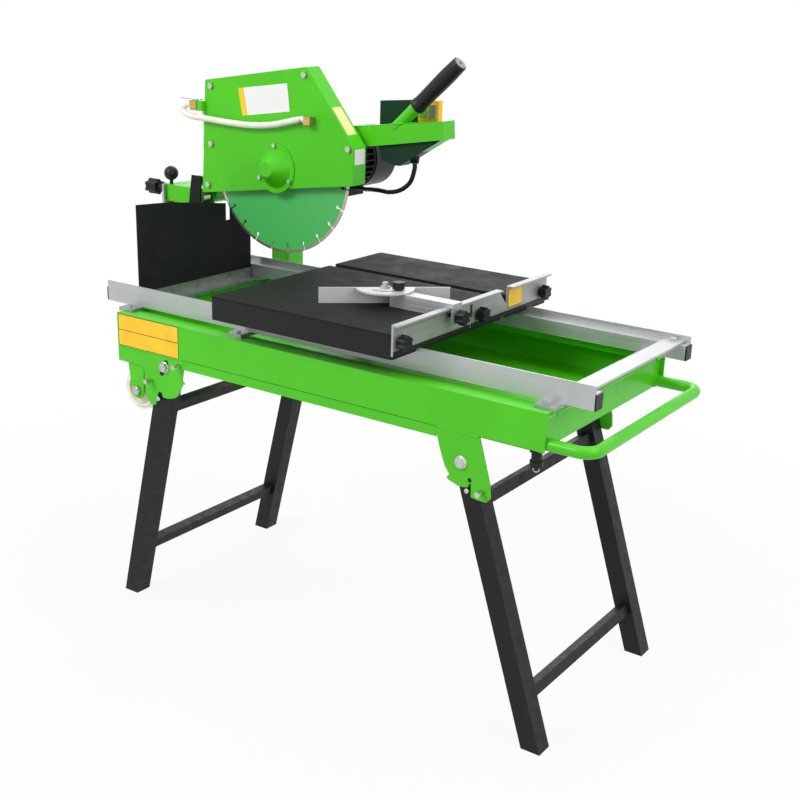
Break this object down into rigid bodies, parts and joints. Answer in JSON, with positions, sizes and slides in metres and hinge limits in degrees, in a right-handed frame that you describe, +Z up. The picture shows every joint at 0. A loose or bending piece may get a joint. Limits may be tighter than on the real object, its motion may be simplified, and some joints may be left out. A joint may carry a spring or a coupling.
{
  "type": "wheeled stone and tile cutting saw",
  "caption": "Wheeled wet saw for stone and tile with a rolling table on rails, tilting blade head, mitre gauge and folding legs",
  "frame": {"origin": "middle of the footprint of the whole saw, at the level the feet stand on", "axes": "+X toward the operator's end, the way the table runs; +Y toward the side the motor is on; +Z up"},
  "size_m": [1.2906, 0.676, 1.1162],
  "materials": {
    "green_paint": "gloss green powder coat",
    "dark_green": "dark green sheet",
    "black_paint": "satin black powder coat",
    "black_rubber": "matte moulded rubber",
    "black_plastic": "moulded, satin",
    "aluminium": "extruded, brushed",
    "zinc": "galvanised",
    "steel": "ground steel",
    "brass": "machined brass",
    "white_plastic": "cast nylon",
    "yellow_plastic": "moulded, gloss",
    "hose": "pale reinforced hose",
    "green_button": "moulded",
    "grey_button": "moulded",
    "cable": "smooth rubber sheath"
  },
  "bodies": {
    "base": {"tray": "green_paint", "under_frame": "green_paint", "leg_brackets": "green_paint", "frame_bolts": "steel", "rail_near": "aluminium", "rail_far": "aluminium", "rail_caps": "black_plastic", "rail_feet": "zinc", "cross_bar": "aluminium", "handle_bar": "green_paint", "drain_stub": "black_plastic", "wheel_forks": "green_paint", "wheel_axles": "steel", "tilt_stand": "green_paint", "curtain": "black_rubber", "rest_post": "green_paint"},
    "left_leg_frame": {"legs_left": "black_paint"},
    "right_leg_frame": {"legs_right": "black_paint"},
    "near_wheel": {"wheel_near": "white_plastic"},
    "far_wheel": {"wheel_far": "white_plastic"},
    "table": {"table_deck": "black_paint", "table_mat": "black_rubber", "table_ribs": "black_paint", "roller_brackets": "black_paint", "fence_plate": "aluminium", "fence_strip": "black_plastic"},
    "left_rollers": {"rollers_left": "white_plastic"},
    "right_rollers": {"rollers_right": "white_plastic"},
    "near_fence_knob": {"fence_knob_near": "black_plastic"},
    "mid_fence_knob": {"fence_knob_mid": "black_plastic"},
    "far_fence_knob": {"fence_knob_far": "black_plastic"},
    "gauge": {"gauge_arm": "aluminium"},
    "gauge_clamp": {"gauge_clamp_knob": "black_plastic"},
    "protractor": {"gauge_plate": "aluminium"},
    "protractor_lock": {"gauge_lock_knob": "black_plastic"},
    "tilt_yoke": {"tilt_plate": "zinc", "tilt_block": "green_paint"},
    "tilt_lock": {"tilt_clamp": "black_plastic"},
    "brake": {"brake_knob": "black_plastic"},
    "index_pin": {"index_plunger": "black_plastic"},
    "head": {"arm_beam": "green_paint", "guard": "green_paint", "guard_screws": "steel", "hub_cover": "green_paint", "chop_shaft": "steel", "motor_housing": "black_paint", "fan_cover": "black_plastic", "handle_grip": "black_rubber", "switch_panel": "dark_green", "switch_box": "yellow_plastic", "motor_cable": "cable", "water_hoses": "hose", "water_valve": "brass", "splash_flap": "black_rubber"},
    "blade_shaft": {"blade": "steel", "blade_flanges": "steel", "arbor": "steel"},
    "start_switch": {"start_button": "green_button"},
    "stop_switch": {"stop_button": "grey_button"},
    "water_lever": {"valve_lever": "steel"}
  },
  "joints": [
    {"name": "left_leg_fold", "type": "hinge", "parent": "base", "child": "left_leg_frame", "pos_m": [-0.27525, -0.072, 0.5235], "axis": [0, -1, 0], "range_deg": [0, 103.3]},
    {"name": "right_leg_fold", "type": "hinge", "parent": "base", "child": "right_leg_frame", "pos_m": [0.40675, -0.072, 0.4945], "axis": [0, 1, 0], "range_deg": [0, 103]},
    {"name": "near_wheel_spin", "type": "hinge", "parent": "base", "child": "near_wheel", "pos_m": [-0.35425, -0.278, 0.4605], "axis": [0, 1, 0], "continuous": true},
    {"name": "far_wheel_spin", "type": "hinge", "parent": "base", "child": "far_wheel", "pos_m": [-0.35425, 0.134, 0.4605], "axis": [0, 1, 0], "continuous": true},
    {"name": "table_slide", "type": "slide", "parent": "base", "child": "table", "axis": [1, 0, 0], "range_m": [-0.343, 0.318], "deforming": ["curtain"]},
    {"name": "left_roller_spin", "type": "hinge", "parent": "table", "child": "left_rollers", "pos_m": [-0.06825, -0.072, 0.6625], "axis": [0, 1, 0], "continuous": true},
    {"name": "right_roller_spin", "type": "hinge", "parent": "table", "child": "right_rollers", "pos_m": [0.23475, -0.072, 0.6625], "axis": [0, 1, 0], "continuous": true},
    {"name": "near_fence_knob_turn", "type": "hinge", "parent": "table", "child": "near_fence_knob", "pos_m": [0.29875, -0.32, 0.6825], "axis": [1, 0, 0], "range_deg": [0, 720]},
    {"name": "mid_fence_knob_turn", "type": "hinge", "parent": "table", "child": "mid_fence_knob", "pos_m": [0.29875, -0.072, 0.6825], "axis": [1, 0, 0], "range_deg": [0, 720]},
    {"name": "far_fence_knob_turn", "type": "hinge", "parent": "table", "child": "far_fence_knob", "pos_m": [0.29875, 0.158, 0.6825], "axis": [1, 0, 0], "range_deg": [0, 720]},
    {"name": "gauge_slide", "type": "slide", "parent": "table", "child": "gauge", "axis": [0, 1, 0], "range_m": [-0.12, 0.02]},
    {"name": "gauge_clamp_turn", "type": "hinge", "parent": "gauge", "child": "gauge_clamp", "pos_m": [0.31475, -0.169, 0.6985], "axis": [1, 0, 0], "range_deg": [0, 720]},
    {"name": "protractor_swivel", "type": "hinge", "parent": "gauge", "child": "protractor", "pos_m": [0.15075, -0.169, 0.7245], "axis": [0, 0, 1], "range_deg": [0, 96]},
    {"name": "protractor_lock_turn", "type": "hinge", "parent": "gauge", "child": "protractor_lock", "pos_m": [0.17975, -0.169, 0.7325], "axis": [0, 0, 1], "range_deg": [0, 720]},
    {"name": "head_tilt", "type": "hinge", "parent": "base", "child": "tilt_yoke", "pos_m": [-0.56725, 0.0236, 0.6965], "axis": [1, 0, 0], "range_deg": [0, 45], "deforming": ["curtain"]},
    {"name": "tilt_lock_turn", "type": "hinge", "parent": "tilt_yoke", "child": "tilt_lock", "pos_m": [-0.55125, 0.0236, 0.6365], "axis": [1, 0, 0], "range_deg": [0, 540]},
    {"name": "brake_turn", "type": "hinge", "parent": "tilt_yoke", "child": "brake", "pos_m": [-0.63025, 0.034, 0.7985], "axis": [1, 0, 0], "range_deg": [0, 360]},
    {"name": "index_pin_slide", "type": "slide", "parent": "tilt_yoke", "child": "index_pin", "axis": [0, 0, 1], "range_m": [-0.008, 0]},
    {"name": "head_chop", "type": "hinge", "parent": "tilt_yoke", "child": "head", "pos_m": [-0.48525, 0.0236, 0.7935], "axis": [0, -1, 0], "range_deg": [-6, 25]},
    {"name": "blade_spin", "type": "hinge", "parent": "head", "child": "blade_shaft", "pos_m": [-0.25255, 0.0236, 0.8795], "axis": [0, 1, 0], "continuous": true},
    {"name": "start_press", "type": "slide", "parent": "head", "child": "start_switch", "axis": [0, 1, 0], "range_m": [0, 0.003], "stiffness_N_per_m": 400},
    {"name": "stop_press", "type": "slide", "parent": "head", "child": "stop_switch", "axis": [0, 1, 0], "range_m": [0, 0.003], "stiffness_N_per_m": 400},
    {"name": "water_lever_turn", "type": "hinge", "parent": "head", "child": "water_lever", "pos_m": [-0.46725, 0, 1.0005], "axis": [0, 0, 1], "range_deg": [0, 90]}
  ],
  "couplings": [
    {"joint": "left_roller_spin", "follows": "table_slide", "rad_per_m": 61.35},
    {"joint": "right_roller_spin", "follows": "table_slide", "rad_per_m": 61.35}
  ]
}
